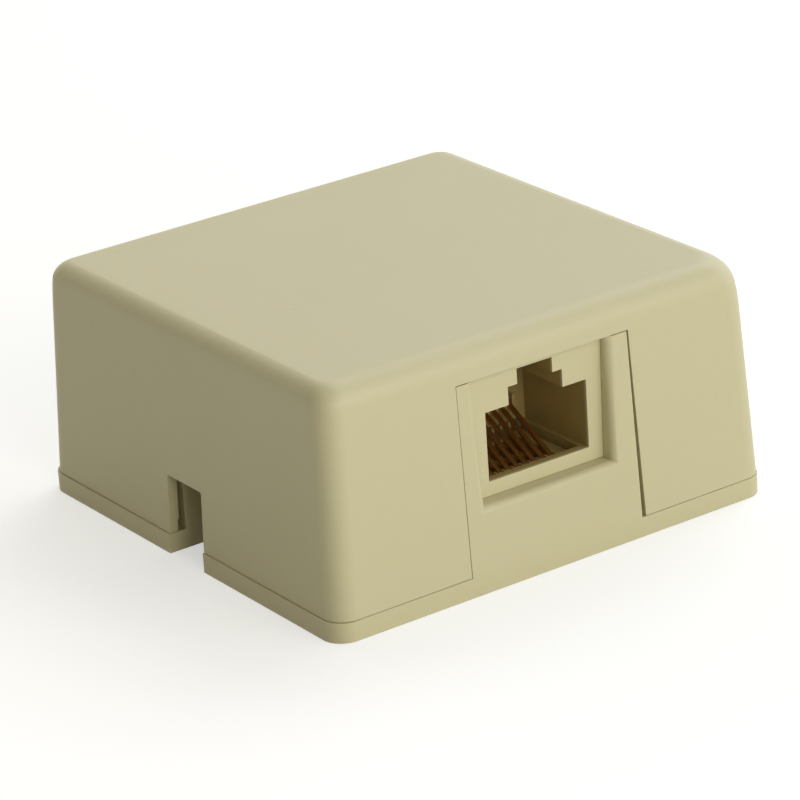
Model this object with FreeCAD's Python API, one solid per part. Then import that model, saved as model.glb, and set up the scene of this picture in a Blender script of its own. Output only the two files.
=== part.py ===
"""Surface mount jack box.

A snap-on cover sits over a base plate whose front tongue frames one 8-position modular jack.
The jack stands on a small circuit board with two rows of insulation displacement contacts.
Millimetres.  X runs to the right along the front, Y to the back and Z up.  The origin is the
middle of the flat underside.
"""
import FreeCAD, Part
import math
import os

V = FreeCAD.Vector

# Base plate
base_width = 52.0            # along X, over the flange
base_depth = 51.7            # along Y, over the flange
base_corner = 2.3
flange_height = 2.05         # the plate's edge, left in sight under the cover
overall_height = 24.8

# Cover: a drafted shell
side_step = 0.1              # the flange stands this far outside the cover at the sides and back
front_step = 0.04            # and this far in front of it
cover_shift = 0.06           # the cover sits this far to the right, within the rim's play
cover_seam = 0.05            # between flange and cover
cover_wall = 1.1
cover_round = 2.4            # upright corners and top edges
corner_extra = 1.2           # the upright corners' radius grows by this towards the top,
corner_depth = 6.0           # within this depth
round_steps = 8              # steps in the rounding of the top edges
side_draft = 0.92            # lean of each face over the cover's height
back_draft = 0.9
front_draft = 1.22
lip_wall = 0.95              # outer lip left by the rebate inside the lower edge
lip_height = 1.2

# Locating rim on the plate, inside the lip
rim_gap = 0.2
rim_wall = 0.8
rim_height = 1.0

# Tongue: the middle of the front, moulded with the plate
tongue_top = 21.25
tongue_half = 10.1           # half its width at the top
tongue_draft = 0.15          # each side, down to the flange
tongue_thick = 2.8           # from the jack's face plane backwards along the arms
seam_left = 0.05             # seams between tongue and cover, at the top
seam_right = 0.2
seam_flare = 0.3             # how much wider the right seam is at the flange
seam_top = 0.1

# Pocket in the tongue, open at the top, that frames the jack's face
pocket_half = 7.95           # half its width at the top
pocket_draft = 0.25
pocket_floor = 8.65
pocket_edge_round = 0.8

# Modular jack
jack_x = -0.2                # its middle, left of the middle of the box
jack_recess = 2.15           # face plane behind the flange's front edge
jack_clearance = 0.05
plate_thick = 0.9            # face plate of the housing
body_half = 7.35
body_length = 15.2
mouth_width = 12.0           # opening for the plug
mouth_height = 7.07
mouth_floor = 10.15
key_width = 6.43             # step for the plug's latch
key_height = 1.84
slot_width = 4.18            # slot above the step
slot_height = 1.55
mouth_depth = 10.2

# Contact wires and the carrier that holds them
contact_count = 8
contact_pitch = 1.016
wire_width = 0.52
wire_thick = 0.3
wire_bend = 0.32
wire_rise = 28.2             # slope of the springs, degrees
wire_front = 2.83            # front bend behind the jack's face
wire_low = 0.85              # lower run above the board
wire_foot = 1.4              # start of the spring above the board
spring_end_gap = 0.35        # free end to the back wall of the mouth
carrier_half = 5.3
carrier_side_gap = 0.2
carrier_gap = 0.12           # in front of it and above it
carrier_front = 1.1          # carrier's front behind the jack's face
carrier_floor = 0.5
carrier_sunk = 0.9           # top of the carrier below the mouth's floor
comb_gap = 0.15              # front bar to the contacts
comb_length = 0.8            # teeth behind the front bar
rear_comb_height = 2.2
slot_clearance = 0.08        # each side of a wire in its slot
tail_row_front = 11.6        # rows of tails behind the jack's face
tail_row_step = 2.0
tail_length = 0.8            # below the board
guide_depth = 0.9            # comb on the back wall that guides the free ends
guide_height = 1.5

# Circuit board
board_half = 14.5
board_front = 5.1            # board's front edge behind the flange's front edge
board_back = 6.1             # board's rear edge in front of the flange's rear edge
board_thick = 1.6
board_standoff = 6.0         # underside of the board above the table
board_corner = 1.0
tail_hole = 0.45             # radius of the small plated holes

# Posts under the board
post_radius = 2.25
post_x_front = 11.5
post_y_front = 3.5           # behind the board's front edge
post_x_rear = 3.5
post_y_rear = 2.0            # in front of the board's rear edge
pin_radius = 0.95
pin_height = 0.7             # above the board
pin_clearance = 0.1
screw_radius = 1.1
screw_head_radius = 2.0
screw_head_height = 1.3
screw_bevel = 0.45
screw_length = 5.2
screw_clearance = 0.12
recess_width = 0.55
recess_depth = 0.8

# Insulation displacement blocks
idc_count = 4                # channels per block
idc_pitch = 3.8
idc_x = 9.0
idc_back = 10.75             # middle of the blocks in front of the board's rear edge
idc_width = 6.0
channel_width = 1.1
idc_foot = 4.4               # solid foot above the board
idc_height = 11.0
fin_tip = 0.9
blade_width = 2.5
blade_thick = 0.5
blade_clearance = 0.1
blade_top = 1.4              # below the fins' tips
blade_foot = 1.3             # blade's shoulder above the board
blade_slit = 0.35
blade_slit_depth = 4.2
blade_mouth = 0.9
blade_tail = 0.8

# Cable entries, one in each side
entry_half = 3.05
entry_top = 8.34
entry_round = 0.3
entry_inset = 7.5            # the floor is open this far in from the flange's edge
guide_wall = 1.5             # walls beside the entry
guide_wall_top = 8.5
guide_wall_length = 8.6
rim_entry_gap = 2.4

# Holes for the wall screws
mount_x = 19.0
mount_y = 12.5
mount_hole = 2.1             # radius
mount_boss = 3.9
mount_boss_height = 1.0

# Snap catches
catch_width = 6.0
catch_thick = 1.2
catch_top = 8.6
catch_set_back = 3.1         # outer face inside the flange's edge
barb_depth = 0.45
barb_z = 6.7
barb_height = 1.4
catch_y = -12.5
catch_x = 13.0
bead_gap = 0.25              # barb to bead, as the cover is drawn off
bead_below = 1.6
bead_height = 1.1
bead_extra = 1.0             # bead longer than the catch at each end

# Ribs inside the cover
rib_wall = 1.0
rib_depth = 1.3
rib_foot = 5.0
ceiling_rib = 0.8

# Derived places
front = -base_depth / 2
seat = flange_height + cover_seam
cover_height = overall_height - seat
jack_face = front + jack_recess
board_top = board_standoff + board_thick
board_y0 = front + board_front
board_y1 = base_depth / 2 - board_back
post_front_y = board_y0 + post_y_front
post_rear_y = board_y1 - post_y_rear
idc_y = board_y1 - idc_back
tongue_foot = tongue_half + tongue_draft
contact_x = [jack_x + contact_pitch * (i - (contact_count - 1) / 2) for i in range(contact_count)]
tail_y = [jack_face + tail_row_front + tail_row_step * (i % 2) for i in range(contact_count)]
idc_y_places = [idc_y + idc_pitch * (i - (idc_count - 1) / 2) for i in range(idc_count)]


def box(x0, x1, y0, y1, z0, z1):
    return Part.makeBox(x1 - x0, y1 - y0, z1 - z0, V(x0, y0, z0))


def cylinder(radius, x, y, z0, z1):
    return Part.makeCylinder(radius, z1 - z0, V(x, y, z0))


def small_hole(radius, x, y, z0, z1):
    """Upright twelve-sided prism, for the small holes that repeat."""
    turns = [math.pi / 6 * i for i in range(12)]
    corners = [V(x + radius * math.cos(turn), y + radius * math.sin(turn), z0) for turn in turns]
    return prism(corners, V(0, 0, z1 - z0))


def prism(points, along):
    """The polygon through the points, extruded."""
    return Part.Face(Part.makePolygon(list(points) + [points[0]])).extrude(along)


def join(first, *rest):
    return first.multiFuse(list(rest)).removeSplitter()


def mirror_x(shape):
    return shape.mirror(V(0, 0, 0), V(1, 0, 0))


def outline(x0, x1, y0, y1, r, z):
    """Rounded rectangle at height z."""
    q = r * (1 - math.sqrt(0.5))

    def line(a, b):
        return Part.LineSegment(V(*a, z), V(*b, z)).toShape()

    def arc(a, m, b):
        return Part.Arc(V(*a, z), V(*m, z), V(*b, z)).toShape()

    return Part.Wire([
        line((x0 + r, y0), (x1 - r, y0)), arc((x1 - r, y0), (x1 - q, y0 + q), (x1, y0 + r)),
        line((x1, y0 + r), (x1, y1 - r)), arc((x1, y1 - r), (x1 - q, y1 - q), (x1 - r, y1)),
        line((x1 - r, y1), (x0 + r, y1)), arc((x0 + r, y1), (x0 + q, y1 - q), (x0, y1 - r)),
        line((x0, y1 - r), (x0, y0 + r)), arc((x0, y0 + r), (x0 + q, y0 + q), (x0 + r, y0)),
    ])


def cover_rectangle(inset, z, shift=cover_shift):
    """Section of the cover at height z, inset from its outer faces: x0, x1, y0, y1."""
    t = (z - seat) / cover_height
    x = base_width / 2 - side_step - side_draft * t - inset
    return (shift - x, shift + x, front + front_step + front_draft * t + inset,
            -front - side_step - back_draft * t - inset)


def rim_outline(inset):
    return outline(*cover_rectangle(inset, seat, 0), cover_round - inset, seat)


def corner_radius(z):
    """Radius of the cover's upright corners at height z."""
    rise = max(0.0, 1 - (overall_height - z) / corner_depth)
    return cover_round + corner_extra * rise ** 3


def cover_ring(inset, z, further=0.0):
    """Outline of the cover at height z; further is how far the top rounding has come in."""
    return outline(*cover_rectangle(inset + further, z), corner_radius(z) - inset - further, z)


def cover_block(inset, z0, z1):
    """The cover's drafted block between two heights, plain at both ends."""
    return Part.makeLoft([cover_ring(inset, z0), cover_ring(inset, z1)], True, True)


def crowned_block(inset, z0, z1):
    """The same block up to the ceiling or the top, with its top edges rounded."""
    radius = cover_round - inset
    start = z1 - radius
    low = overall_height - corner_depth
    rings = [cover_ring(inset, z0)] + [cover_ring(inset, low + (start - low) * i / 4) for i in range(4)]
    for i in range(round_steps + 1):
        turn = math.pi / 2 * i / round_steps
        rings.append(cover_ring(inset, start + radius * math.sin(turn), radius * (1 - math.cos(turn))))
    return Part.makeLoft(rings, True, True)


def cover_front(z):
    return front + front_step + front_draft * (z - seat) / cover_height


def edges_at(shape, test):
    """Edges whose ends and middle all pass the test."""
    picked = []
    for edge in shape.Edges:
        middle = edge.valueAt((edge.FirstParameter + edge.LastParameter) / 2)
        if all(test(p) for p in [middle] + [v.Point for v in edge.Vertexes]):
            picked.append(edge)
    return picked


def near(a, b):
    return abs(a - b) < 1e-4


def drafted_slot(x, left_top, right_top, flares, z0, z1, y0, y1):
    """Slot along Y whose left and right sides move out by flares from z1 down to z0."""
    left, right = flares
    return prism([V(x - left_top - left, y0, z0), V(x + right_top + right, y0, z0),
                  V(x + right_top, y0, z1), V(x - left_top, y0, z1)], V(0, y1 - y0, 0))


def catch_profile(face):
    """Section (outward distance, Z) of a catch with its outer face at this distance."""
    low, high = barb_z - barb_height / 2, barb_z + barb_height / 2
    return [(face - catch_thick, flange_height - 0.5), (face, flange_height - 0.5), (face, low),
            (face + barb_depth, low + 0.25), (face, high), (face, catch_top),
            (face - catch_thick, catch_top)]


def bead_profile(face, wall):
    """Section of the cover's bead that the barb holds."""
    top = barb_z - barb_height / 2 - 0.1
    tip = face + barb_depth + bead_gap
    return [(wall, top), (tip, top - 0.2), (tip, top - bead_height + 0.4),
            (wall, top - bead_height - 0.3)]


def side_pieces(profile, half_length, y):
    """The section on the left and the right side, around y."""
    right = prism([V(a, y - half_length, z) for a, z in profile], V(0, 2 * half_length, 0))
    return [right, mirror_x(right)]


def back_pieces(profile, half_length, x):
    """The section at the back, around x and -x."""
    right = prism([V(x - half_length, a, z) for a, z in profile], V(2 * half_length, 0, 0))
    return [right, mirror_x(right)]


def make_cover():
    cover = crowned_block(0, seat, overall_height)
    ceiling = overall_height - cover_wall
    hollow = crowned_block(cover_wall, seat - 1, ceiling)
    rebate = cover_block(lip_wall, seat - 1, seat + lip_height)
    shell = cover.cut(hollow.fuse(rebate))

    # Opening for the tongue, down through the lower edge
    wide = tongue_draft + seam_flare
    drop = tongue_top + seam_top - seat
    extra = 1.0
    longer = (drop + extra) / drop
    opening = drafted_slot(0, tongue_half + seam_left, tongue_half + seam_right,
                           (tongue_draft * longer, wide * longer), seat - extra, tongue_top + seam_top,
                           front - 5, jack_face + plate_thick)
    # Cable notches in both sides
    notch = box(-base_width, base_width, -entry_half, entry_half, seat - 1, entry_top)
    notch = notch.makeFillet(entry_round, edges_at(notch, lambda p: near(p.z, entry_top)
                                                   and near(abs(p.y), entry_half)))
    shell = shell.cut(opening).cut(notch)

    # Ribs beside the opening and under the ceiling, and the beads that the catches hold
    sunk = 0.4                # how far a rib's root reaches into the wall
    root_low = cover_front(rib_foot) + cover_wall - sunk
    root_high = cover_front(ceiling) + cover_wall - sunk
    rib_x = tongue_half + seam_right + wide + rib_wall
    ribs = []
    for side in (-1, 1):
        x = side * rib_x - rib_wall / 2
        ribs.append(prism([V(x, root_low, rib_foot), V(x, root_low + sunk + rib_depth, rib_foot + rib_depth),
                           V(x, root_high + sunk + rib_depth, ceiling + sunk / 2),
                           V(x, root_high, ceiling + sunk / 2)], V(rib_wall, 0, 0)))
    reach = base_width / 2 - cover_wall - side_draft
    for y in (idc_y - base_depth / 4, idc_y):
        ribs.append(box(-reach, reach, y - rib_wall / 2, y + rib_wall / 2,
                        ceiling - ceiling_rib, ceiling + sunk))
    side_face = base_width / 2 - catch_set_back
    back_face = base_depth / 2 - catch_set_back
    half = catch_width / 2 + bead_extra
    ribs += side_pieces(bead_profile(side_face, base_width / 2 - side_step - lip_wall), half, catch_y)
    ribs += back_pieces(bead_profile(back_face, base_depth / 2 - side_step - lip_wall), half, catch_x)
    return join(shell, *ribs)


def make_base():
    plate = Part.Face(outline(-base_width / 2, base_width / 2, front, -front, base_corner, 0))
    plate = plate.extrude(V(0, 0, flange_height))

    # Locating rim, open at the tongue and at the cable entries
    outer = Part.Face(rim_outline(lip_wall + rim_gap))
    inner = Part.Face(rim_outline(lip_wall + rim_gap + rim_wall))
    rim = outer.cut(inner).extrude(V(0, 0, rim_height + 0.5))
    rim.translate(V(0, 0, flange_height - 0.5 - seat))
    gap = tongue_foot + seam_right + seam_flare
    rim = rim.cut(box(-gap, gap, front, front + 5, 0, flange_height + rim_height + 1))
    clear = entry_half + rim_entry_gap
    rim = rim.cut(box(-base_width, base_width, -clear, clear, 0, flange_height + rim_height + 1))

    # Tongue: its front runs from the flange's edge up to the face of the cover
    back = jack_face + tongue_thick
    top_front = cover_front(tongue_top)
    tongue = prism([V(-tongue_foot, front, flange_height), V(-tongue_foot, top_front, tongue_top),
                    V(-tongue_foot, back, tongue_top), V(-tongue_foot, back, flange_height - 0.5),
                    V(-tongue_foot, front, flange_height - 0.5)], V(2 * tongue_foot, 0, 0))
    sides = drafted_slot(0, tongue_half, tongue_half, (tongue_draft, tongue_draft), flange_height, tongue_top,
                         front - 1, back + 1)
    sides = sides.fuse(box(-tongue_foot, tongue_foot, front - 1, back + 1, 0, flange_height))
    tongue = tongue.common(sides)
    mouth = drafted_slot(jack_x, pocket_half, pocket_half, (-pocket_draft, -pocket_draft), pocket_floor,
                         tongue_top + 1, front - 1, back + 1)
    tongue = tongue.cut(mouth)
    rim_edges = edges_at(tongue, lambda p: p.y < jack_face - 0.3 and p.z > pocket_floor - 0.01
                         and abs(p.x - jack_x) < pocket_half + 0.1)
    tongue = tongue.makeFillet(pocket_edge_round, [e for e in rim_edges if e.Length > 5])
    # Behind the pocket's floor the web stays in front of the housing
    web_back = jack_face + plate_thick - jack_clearance
    tongue = tongue.cut(box(jack_x - pocket_half, jack_x + pocket_half, web_back, back + 1,
                            board_standoff, pocket_floor + 1))

    # Posts for the board: two take screws, two end in locating pins
    posts = []
    for side in (-1, 1):
        posts.append(cylinder(post_radius, side * post_x_front, post_front_y,
                              flange_height - 0.5, board_standoff))
        posts.append(cylinder(post_radius, side * post_x_rear, post_rear_y,
                              flange_height - 0.5, board_standoff))
        posts.append(cylinder(pin_radius, side * post_x_rear, post_rear_y,
                              board_standoff - 0.5, board_top + pin_height))

    # Walls beside the cable entries, and bosses round the wall screws
    extras = []
    start = base_width / 2 - side_step - lip_wall - rim_gap - rim_wall
    for side in (-1, 1):
        for y in (entry_half, -entry_half - guide_wall):
            x0, x1 = sorted((side * start, side * (start - guide_wall_length)))
            extras.append(box(x0, x1, y, y + guide_wall, flange_height - 0.5, guide_wall_top))
        extras.append(cylinder(mount_boss, side * mount_x, mount_y, flange_height - 0.5,
                               flange_height + mount_boss_height))
    half = catch_width / 2
    extras += side_pieces(catch_profile(base_width / 2 - catch_set_back), half, catch_y)
    extras += back_pieces(catch_profile(base_depth / 2 - catch_set_back), half, catch_x)

    base = join(plate, rim, tongue, *posts, *extras)
    for side in (-1, 1):
        x0, x1 = sorted((side * base_width, side * (base_width / 2 - entry_inset)))
        base = base.cut(box(x0, x1, -entry_half, entry_half, -1, flange_height + 1))
        base = base.cut(cylinder(mount_hole, side * mount_x, mount_y, -1, flange_height + 2))
        base = base.cut(cylinder(screw_radius - screw_clearance + 0.2, side * post_x_front,
                                 post_front_y, board_top - screw_length - 0.3, board_top))
    return base


def mouth_profile(y):
    """Stepped opening of the jack at this Y."""
    shoulder = mouth_floor + mouth_height
    steps = [(mouth_width / 2, mouth_floor, shoulder), (key_width / 2, shoulder, shoulder + key_height),
             (slot_width / 2, shoulder + key_height, shoulder + key_height + slot_height)]
    right = [V(jack_x + w, y, z) for w, low, high in steps for z in (low, high)]
    left = [V(2 * jack_x - p.x, y, p.z) for p in reversed(right)]
    return right + left


def make_housing():
    bottom = pocket_floor + jack_clearance
    top = tongue_top - jack_clearance
    narrow = pocket_half - jack_clearance
    plate = drafted_slot(jack_x, narrow, narrow, (-pocket_draft, -pocket_draft), bottom, top, jack_face,
                         jack_face + plate_thick)
    body = box(jack_x - body_half, jack_x + body_half, jack_face + plate_thick, jack_face + body_length,
               board_top, top)
    housing = join(plate, body)
    housing = housing.cut(prism(mouth_profile(jack_face - 1), V(0, mouth_depth + 1, 0)))
    # Comb on the back wall between the free ends of the contacts
    wall = jack_face + mouth_depth
    tip = spring_tip()[1]
    teeth = [box(x - tooth_width() / 2, x + tooth_width() / 2, wall - guide_depth, wall + 0.5,
                 tip - guide_height + 0.7, tip + 0.7) for x in tooth_places()]
    housing = join(housing, *teeth)
    # Well for the carrier, open below
    half = carrier_half + carrier_side_gap
    well = box(jack_x - half, jack_x + half, jack_face + carrier_front - carrier_gap, wall,
               board_top - 1, mouth_floor + 0.01)
    rear = box(jack_x - half, jack_x + half, wall - 0.01, jack_face + body_length + 1, board_top - 1,
               board_top + carrier_floor + rear_comb_height + carrier_gap)
    return housing.cut(well).cut(rear)


def tooth_places():
    """Middles of the gaps beside the contacts."""
    return [jack_x + contact_pitch * (i - contact_count / 2) for i in range(contact_count + 1)]


def tooth_width():
    return contact_pitch - wire_width - 2 * slot_clearance


def spring_tip():
    """Free end (Y, Z) of a contact."""
    y0, z0 = jack_face + wire_front, board_top + wire_foot
    y1 = jack_face + mouth_depth - spring_end_gap
    return y1, z0 + (y1 - y0) * math.tan(math.radians(wire_rise))


def make_carrier():
    y0 = jack_face + carrier_front
    y1 = jack_face + body_length - 0.5
    z0 = board_top + jack_clearance
    floor = board_top + carrier_floor
    wall_y = jack_face + mouth_depth
    tray = box(jack_x - carrier_half, jack_x + carrier_half, y0, y1, z0, floor)
    pieces = []
    top = mouth_floor - carrier_sunk
    # Front bar, side walls, front comb and rear comb
    bar = jack_face + wire_front - wire_thick / 2 - comb_gap
    pieces.append(box(jack_x - carrier_half, jack_x + carrier_half, y0, bar, floor - 0.2, top))
    reach = carrier_half - contact_pitch * contact_count / 2 + tooth_width() / 2
    for x in (jack_x - carrier_half, jack_x + carrier_half - reach):
        pieces.append(box(x, x + reach, y0, wall_y, floor - 0.2, top))
    for x in tooth_places():
        left, right = x - tooth_width() / 2, x + tooth_width() / 2
        pieces.append(box(left, right, bar - 0.1, bar + comb_length, floor - 0.2, top))
        pieces.append(box(left, right, wall_y, y1, floor - 0.2, floor + rear_comb_height))
    tray = join(tray, *pieces)
    for x, y in zip(contact_x, tail_y):
        half = wire_width / 2 + slot_clearance
        tray = tray.cut(box(x - half, x + half, y - half - 0.1, y + half + 0.1, z0 - 1, floor + 0.1))
    return tray


def bent_strip(points, bend, thickness, width, x):
    """Flat strip of this width around x that follows the points (Y, Z)."""
    path = [FreeCAD.Vector(0, y, z) for y, z in points]
    way = [(b - a).normalize() for a, b in zip(path, path[1:])]

    def left_of(d):
        return V(0, -d.z, d.y)

    def side(s):
        edges, at = [], path[0] + left_of(way[0]) * s
        for p, d1, d2 in zip(path[1:-1], way, way[1:]):
            angle = d1.getAngle(d2)
            turn = 1 if d1.cross(d2).x > 0 else -1
            reach = bend * math.tan(angle / 2)
            start, end = p - d1 * reach, p + d2 * reach
            centre = start + left_of(d1) * (turn * bend)
            a, b = start + left_of(d1) * s, end + left_of(d2) * s
            mid = centre + (p - centre).normalize() * (bend - turn * s)
            edges += [Part.LineSegment(at, a).toShape(), Part.Arc(a, mid, b).toShape()]
            at = b
        last = path[-1] + left_of(way[-1]) * s
        return edges + [Part.LineSegment(at, last).toShape()], path[0] + left_of(way[0]) * s, last

    one, start_a, end_a = side(thickness / 2)
    two, start_b, end_b = side(-thickness / 2)
    caps = [Part.LineSegment(end_a, end_b).toShape(), Part.LineSegment(start_b, start_a).toShape()]
    wire = Part.Wire(Part.__sortEdges__(one + two + caps))
    strip = Part.Face(wire).extrude(V(width, 0, 0))
    strip.translate(V(x - width / 2, 0, 0))
    return strip


def make_contact(x, y):
    """One contact: tail through the board, lower run, front bend and spring."""
    bend_y, low = jack_face + wire_front, board_top + wire_low
    return bent_strip([(y, board_standoff - tail_length), (y, low), (bend_y, low),
                       (bend_y, board_top + wire_foot), spring_tip()],
                      wire_bend, wire_thick, wire_width, x)


def make_board():
    board = Part.Face(outline(-board_half, board_half, board_y0, board_y1, board_corner, board_standoff))
    board = board.extrude(V(0, 0, board_thick))
    low, high = board_standoff - 1, board_top + 1
    for side in (-1, 1):
        board = board.cut(cylinder(screw_radius + screw_clearance, side * post_x_front, post_front_y, low, high))
        board = board.cut(cylinder(pin_radius + pin_clearance, side * post_x_rear, post_rear_y, low, high))
        for y in idc_y_places:
            board = board.cut(small_hole(tail_hole + 0.1, side * idc_x, y, low, high))
    for x, y in zip(contact_x, tail_y):
        board = board.cut(small_hole(tail_hole, x, y, low, high))
    return board


def blade_profile(grow, y):
    """Section (Y, Z) of a forked blade without its slit, grown for its pocket."""
    half, foot = blade_width / 2 + grow, board_top + blade_foot - grow
    top = board_top + idc_height - blade_top + (5 if grow else 0)
    tail = blade_tail / 2 + grow
    return [(y - tail, board_standoff - tail_length), (y + tail, board_standoff - tail_length),
            (y + tail, foot), (y + half, foot), (y + half, top), (y - half, top), (y - half, foot),
            (y - tail, foot)]


def make_idc_block(x):
    half, end = idc_width / 2, idc_pitch * idc_count / 2
    fin = (idc_pitch - channel_width) / 2
    foot = board_top + idc_foot
    block = box(x - half, x + half, idc_y - end - fin, idc_y + end + fin, board_top, foot)
    top = board_top + idc_height
    fins = []
    for i in range(idc_count + 1):
        y = idc_y - end + idc_pitch * i
        fins.append(prism([V(x - half, y - fin, foot - 0.5), V(x - half, y + fin, foot - 0.5),
                           V(x - half, y + fin, top - (fin - fin_tip / 2)), V(x - half, y + fin_tip / 2, top),
                           V(x - half, y - fin_tip / 2, top), V(x - half, y - fin, top - (fin - fin_tip / 2))],
                          V(idc_width, 0, 0)))
    block = join(block, *fins)
    thick = blade_thick / 2 + blade_clearance
    for y in idc_y_places:
        pocket = prism([V(x - thick, a, z) for a, z in blade_profile(blade_clearance, y)],
                       V(2 * thick, 0, 0))
        block = block.cut(pocket)
    return block


def make_blade(x, y):
    """Forked contact across one channel of a block."""
    blade = prism([V(x - blade_thick / 2, a, z) for a, z in blade_profile(0, y)], V(blade_thick, 0, 0))
    top = board_top + idc_height - blade_top
    slit, mouth = blade_slit / 2, blade_mouth / 2
    cut = prism([V(x - 1, y - slit, top - blade_slit_depth), V(x - 1, y + slit, top - blade_slit_depth),
                 V(x - 1, y + slit, top - 1.0), V(x - 1, y + mouth, top + 0.01),
                 V(x - 1, y - mouth, top + 0.01), V(x - 1, y - slit, top - 1.0)], V(2, 0, 0))
    return blade.cut(cut)


def make_screw(x, y):
    """Pan head screw with a cross recess; its thread isn't modelled."""
    shank = cylinder(screw_radius - screw_clearance, x, y, board_top - screw_length, board_top + 0.1)
    head = cylinder(screw_head_radius, x, y, board_top, board_top + screw_head_height)
    head = head.makeChamfer(screw_bevel, edges_at(head, lambda p: near(p.z, board_top + screw_head_height)))
    screw = join(shank, head)
    low, high = board_top + screw_head_height - recess_depth, board_top + screw_head_height + 1
    reach, w = screw_head_radius * 0.6, recess_width / 2
    return screw.cut(box(x - reach, x + reach, y - w, y + w, low, high)).cut(
        box(x - w, x + w, y - reach, y + reach, low, high))


parts = {
    "base": make_base(),
    "cover": make_cover(),
    "jack_housing": make_housing(),
    "contact_carrier": make_carrier(),
    "circuit_board": make_board(),
    "idc_block_left": make_idc_block(-idc_x),
    "idc_block_right": make_idc_block(idc_x),
    "board_screws": Part.makeCompound([make_screw(side * post_x_front, post_front_y) for side in (-1, 1)]),
}
for i, (x, y) in enumerate(zip(contact_x, tail_y)):
    parts["contact_wire_%d" % (i + 1)] = make_contact(x, y)
for i, (side, y) in enumerate([(s, y) for s in (-1, 1) for y in idc_y_places]):
    parts["idc_contact_%d" % (i + 1)] = make_blade(side * idc_x, y)

os.makedirs("parts", exist_ok=True)
for name, shape in parts.items():
    shape.exportStep("parts/%s.step" % name)
    print(name, shape.isValid(), len(shape.Solids), round(shape.Volume, 2))
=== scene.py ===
"""Surface mount jack box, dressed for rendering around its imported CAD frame.

Every piece is an operator with its sizes and colours in property groups.
All lengths are in metres, in the same frame as the CAD.
"""
import math

import bmesh
import bpy
from mathutils import Matrix, Vector


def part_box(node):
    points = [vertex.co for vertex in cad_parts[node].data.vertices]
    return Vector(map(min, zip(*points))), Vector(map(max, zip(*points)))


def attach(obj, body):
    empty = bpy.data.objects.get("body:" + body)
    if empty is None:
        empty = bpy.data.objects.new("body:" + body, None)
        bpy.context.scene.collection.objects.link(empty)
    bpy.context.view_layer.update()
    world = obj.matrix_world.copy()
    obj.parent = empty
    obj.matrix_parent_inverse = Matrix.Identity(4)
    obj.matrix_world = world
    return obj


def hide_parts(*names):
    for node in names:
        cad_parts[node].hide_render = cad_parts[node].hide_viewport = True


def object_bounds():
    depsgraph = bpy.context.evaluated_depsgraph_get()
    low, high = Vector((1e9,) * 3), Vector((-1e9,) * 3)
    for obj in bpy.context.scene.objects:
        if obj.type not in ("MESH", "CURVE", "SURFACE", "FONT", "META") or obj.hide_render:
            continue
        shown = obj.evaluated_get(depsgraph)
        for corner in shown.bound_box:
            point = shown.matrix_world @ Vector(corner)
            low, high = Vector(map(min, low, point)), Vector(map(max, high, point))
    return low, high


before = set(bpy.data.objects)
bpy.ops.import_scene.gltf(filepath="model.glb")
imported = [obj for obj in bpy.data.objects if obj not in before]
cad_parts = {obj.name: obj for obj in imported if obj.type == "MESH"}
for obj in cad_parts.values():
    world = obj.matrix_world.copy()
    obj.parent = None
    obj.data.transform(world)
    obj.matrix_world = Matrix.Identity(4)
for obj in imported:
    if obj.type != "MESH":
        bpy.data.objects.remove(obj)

bl_info = {
    "name": "Surface mount jack box",
    "version": (1, 0, 0),
    "blender": (4, 5, 0),
    "location": "3D View > Sidebar > Jack box",
    "description": "Dresses a surface mount jack box: cover, base, jack, contacts and board",
    "category": "Object",
}

CAD_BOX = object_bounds()
BASE_BODY = "base_unit"
COVER_BODY = "cover"
WIRES = ["contact_wire_%d" % (i + 1) for i in range(8)]
BLADES = ["idc_contact_%d" % (i + 1) for i in range(8)]

SHARP_ANGLE = 40.0      # degrees; steeper edges stay sharp or are bevelled
WELD = 1e-6             # points nearer than this are one point
LEVELS_BELOW = 0.002    # outlines are read this far below the corners' change
INNER_SKIN = 0.00025    # points farther inside the outline than this stay
CORNER_SLACK = 3e-5
HEAD_RIM = 0.00008      # chamfer under a screw's head
THREAD_START = 0.0006   # from a screw's seat down to its thread
PLAIN_SHANK = 0.0018    # length of the shank that carries no thread
TAIL_INSET = 0.00015    # from the back of a wire to the middle of its tail
# top limit of the painted shade inside the jack's mouth
SHADE_BELOW = 0.0002     # the jack's tint ends this far below the housing's top
BLOCK_EDGE = 0.00006    # softening of the punch-down blocks
BLADE_EDGE = 0.00005    # softening of the forked contacts
FLOOR_GAP = 0.00002     # from the floor up to the underside
FLOOR_COLOUR = (0.58, 0.58, 0.56, 1.0)
FLOOR_GLOW = 0.55       # added where the camera sees the floor
SPECK_COLOUR = (0.62, 0.58, 0.5, 1.0)
PLASTIC_IOR = 1.53
SCATTER_COLOUR = (1.0, 0.75, 0.4)
SCATTER_DEPTH = 0.0006  # how far light passes through the plastics
LAMP_TARGET = (0.0, 0.0, 0.01)
LAMPS = (               # the property with its power, its place and its size
    ("front", (-0.10, -0.70, 0.25), 0.40),
    ("corner", (0.26, -0.62, 0.30), 0.40),
    ("overhead", (0.45, 0.20, 0.60), 0.45))


# ---------------------------------------------------------------- small helpers

def middle(node):
    low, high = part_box(node)
    return (low + high) / 2


def link(obj):
    bpy.context.scene.collection.objects.link(obj)
    return obj


def mesh_object(name, bm):
    """A new object that takes over the bmesh."""
    mesh = bpy.data.meshes.new(name)
    bm.to_mesh(mesh)
    bm.free()
    return link(bpy.data.objects.new(name, mesh))


def bake(obj):
    """Turns an object with modifiers into a plain mesh piece at the origin."""
    graph = bpy.context.evaluated_depsgraph_get()
    graph.update()
    mesh = bpy.data.meshes.new_from_object(obj.evaluated_get(graph))
    mesh.name = obj.name
    old = obj.data
    obj.modifiers.clear()
    if obj.type == "MESH":
        obj.data = mesh
        if old.users == 0:
            bpy.data.meshes.remove(old)
    return obj


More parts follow.
